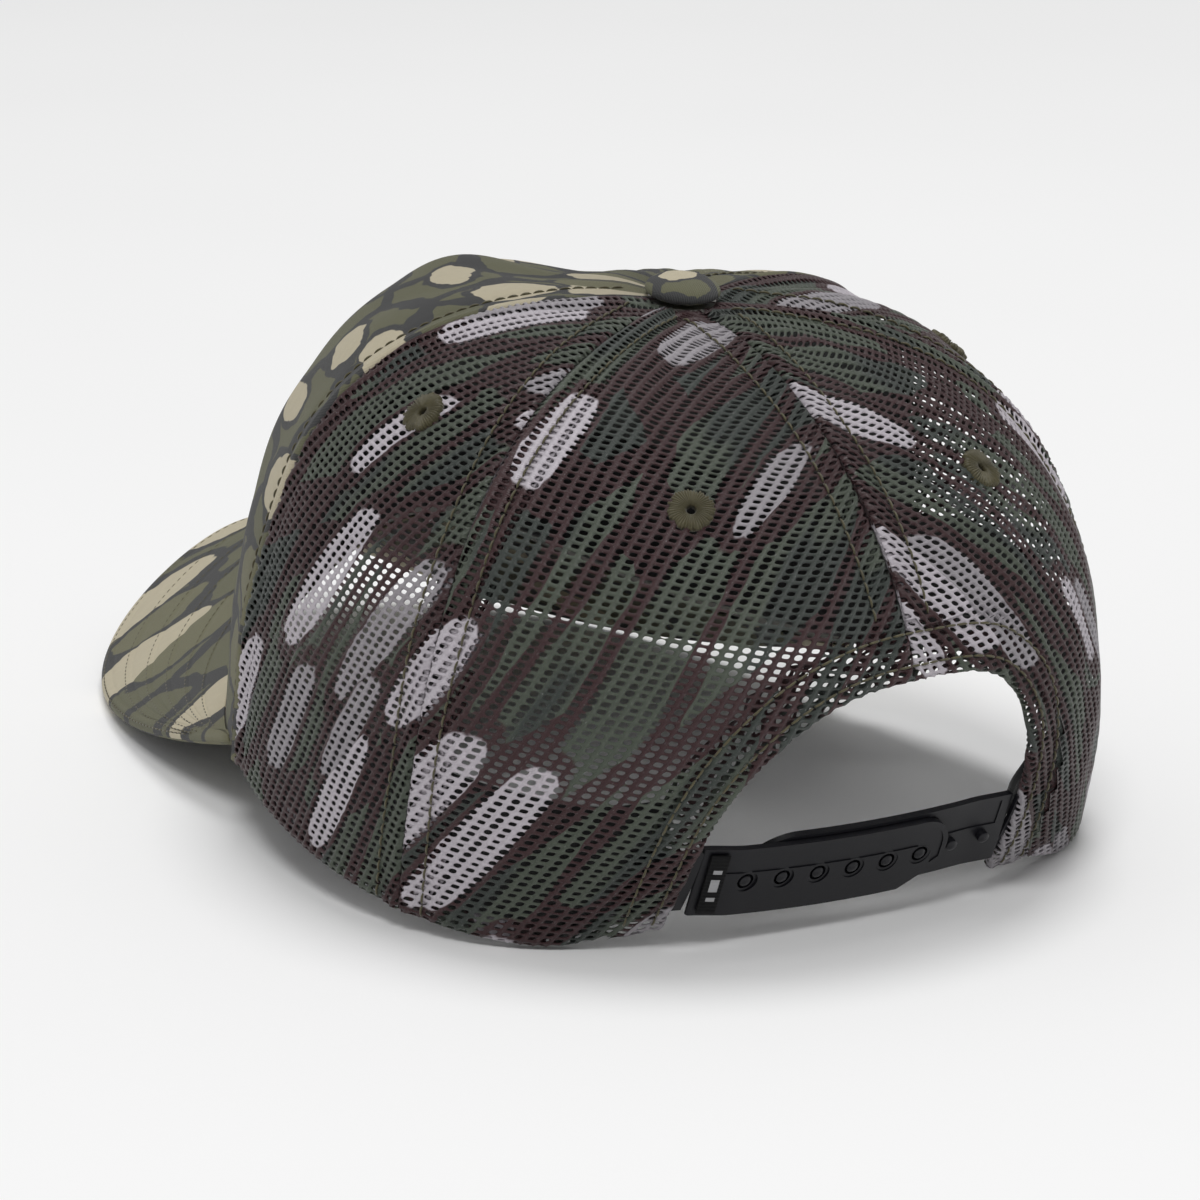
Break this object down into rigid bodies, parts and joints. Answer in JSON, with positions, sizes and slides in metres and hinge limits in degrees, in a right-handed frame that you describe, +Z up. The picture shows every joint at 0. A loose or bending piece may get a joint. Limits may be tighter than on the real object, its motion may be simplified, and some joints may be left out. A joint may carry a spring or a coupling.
{
  "type": "trucker mesh cap",
  "caption": "Curved-brim cap with a woven front, printed mesh sides and back, and a snap closure across the rear arch.",
  "frame": {"origin": "middle of the head opening, in the opening's plane", "axes": "+Z up as the cap stands on a table on its brim and rear rim, leaning back 9 degrees; -Y towards the brim; +X to the wearer's left"},
  "size_m": [0.1729, 0.2908, 0.1196],
  "materials": {
    "woven_print": "twill printed in olive, beige and slate",
    "mesh_print": "polyester net printed in grey green, maroon and mauve grey",
    "lining": "plain grey stiffened cloth",
    "sweatband": "black knit",
    "tape": "black woven tape",
    "thread": "olive polyester thread",
    "board": "plain",
    "button_metal": "bare",
    "snap_plastic": "satin black",
    "label": "black woven tab"
  },
  "bodies": {
    "crown": {"front_panel": "woven_print", "front_lining": "lining", "side_mesh_left": "mesh_print", "side_mesh_right": "mesh_print", "rear_mesh_left": "mesh_print", "rear_mesh_right": "mesh_print", "arch_hem": "mesh_print", "arch_stitching": "thread", "sweatband": "sweatband", "seam_tape_front_left": "tape", "seam_tape_front_right": "tape", "seam_tape_rear_left": "tape", "seam_tape_rear_right": "tape", "seam_tape_back": "tape", "crown_stitching": "thread", "eyelet_side_left": "thread", "eyelet_side_right": "thread", "eyelet_rear_left": "thread", "eyelet_rear_right": "thread", "button_cover": "woven_print", "button_shell": "button_metal", "button_washer": "button_metal", "brim_board": "board", "brim_top_cover": "woven_print", "brim_under_cover": "woven_print", "brim_stitching": "thread", "holed_strap_tab": "snap_plastic", "pegged_strap_tab": "snap_plastic"},
    "holed_strap": {"holed_strap": "snap_plastic"},
    "pegged_strap": {"pegged_strap": "snap_plastic"},
    "loop_label": {"loop_label": "label"}
  },
  "joints": [
    {"name": "holed_strap_swing", "type": "hinge", "parent": "crown", "child": "holed_strap", "pos_m": [0.0373, 0.07618, 0.00592], "axis": [0, -0.4226, -0.9063], "range_deg": [0, 60]},
    {"name": "pegged_strap_swing", "type": "hinge", "parent": "crown", "child": "pegged_strap", "pos_m": [-0.0328, 0.07675, 0.00566], "axis": [0, -0.4226, -0.9063], "range_deg": [0, 60]},
    {"name": "label_flip", "type": "hinge", "parent": "holed_strap", "child": "loop_label", "pos_m": [0.0365, 0.07739, 0.00536], "axis": [0, -0.4226, -0.9063], "range_deg": [0, 60]}
  ]
}
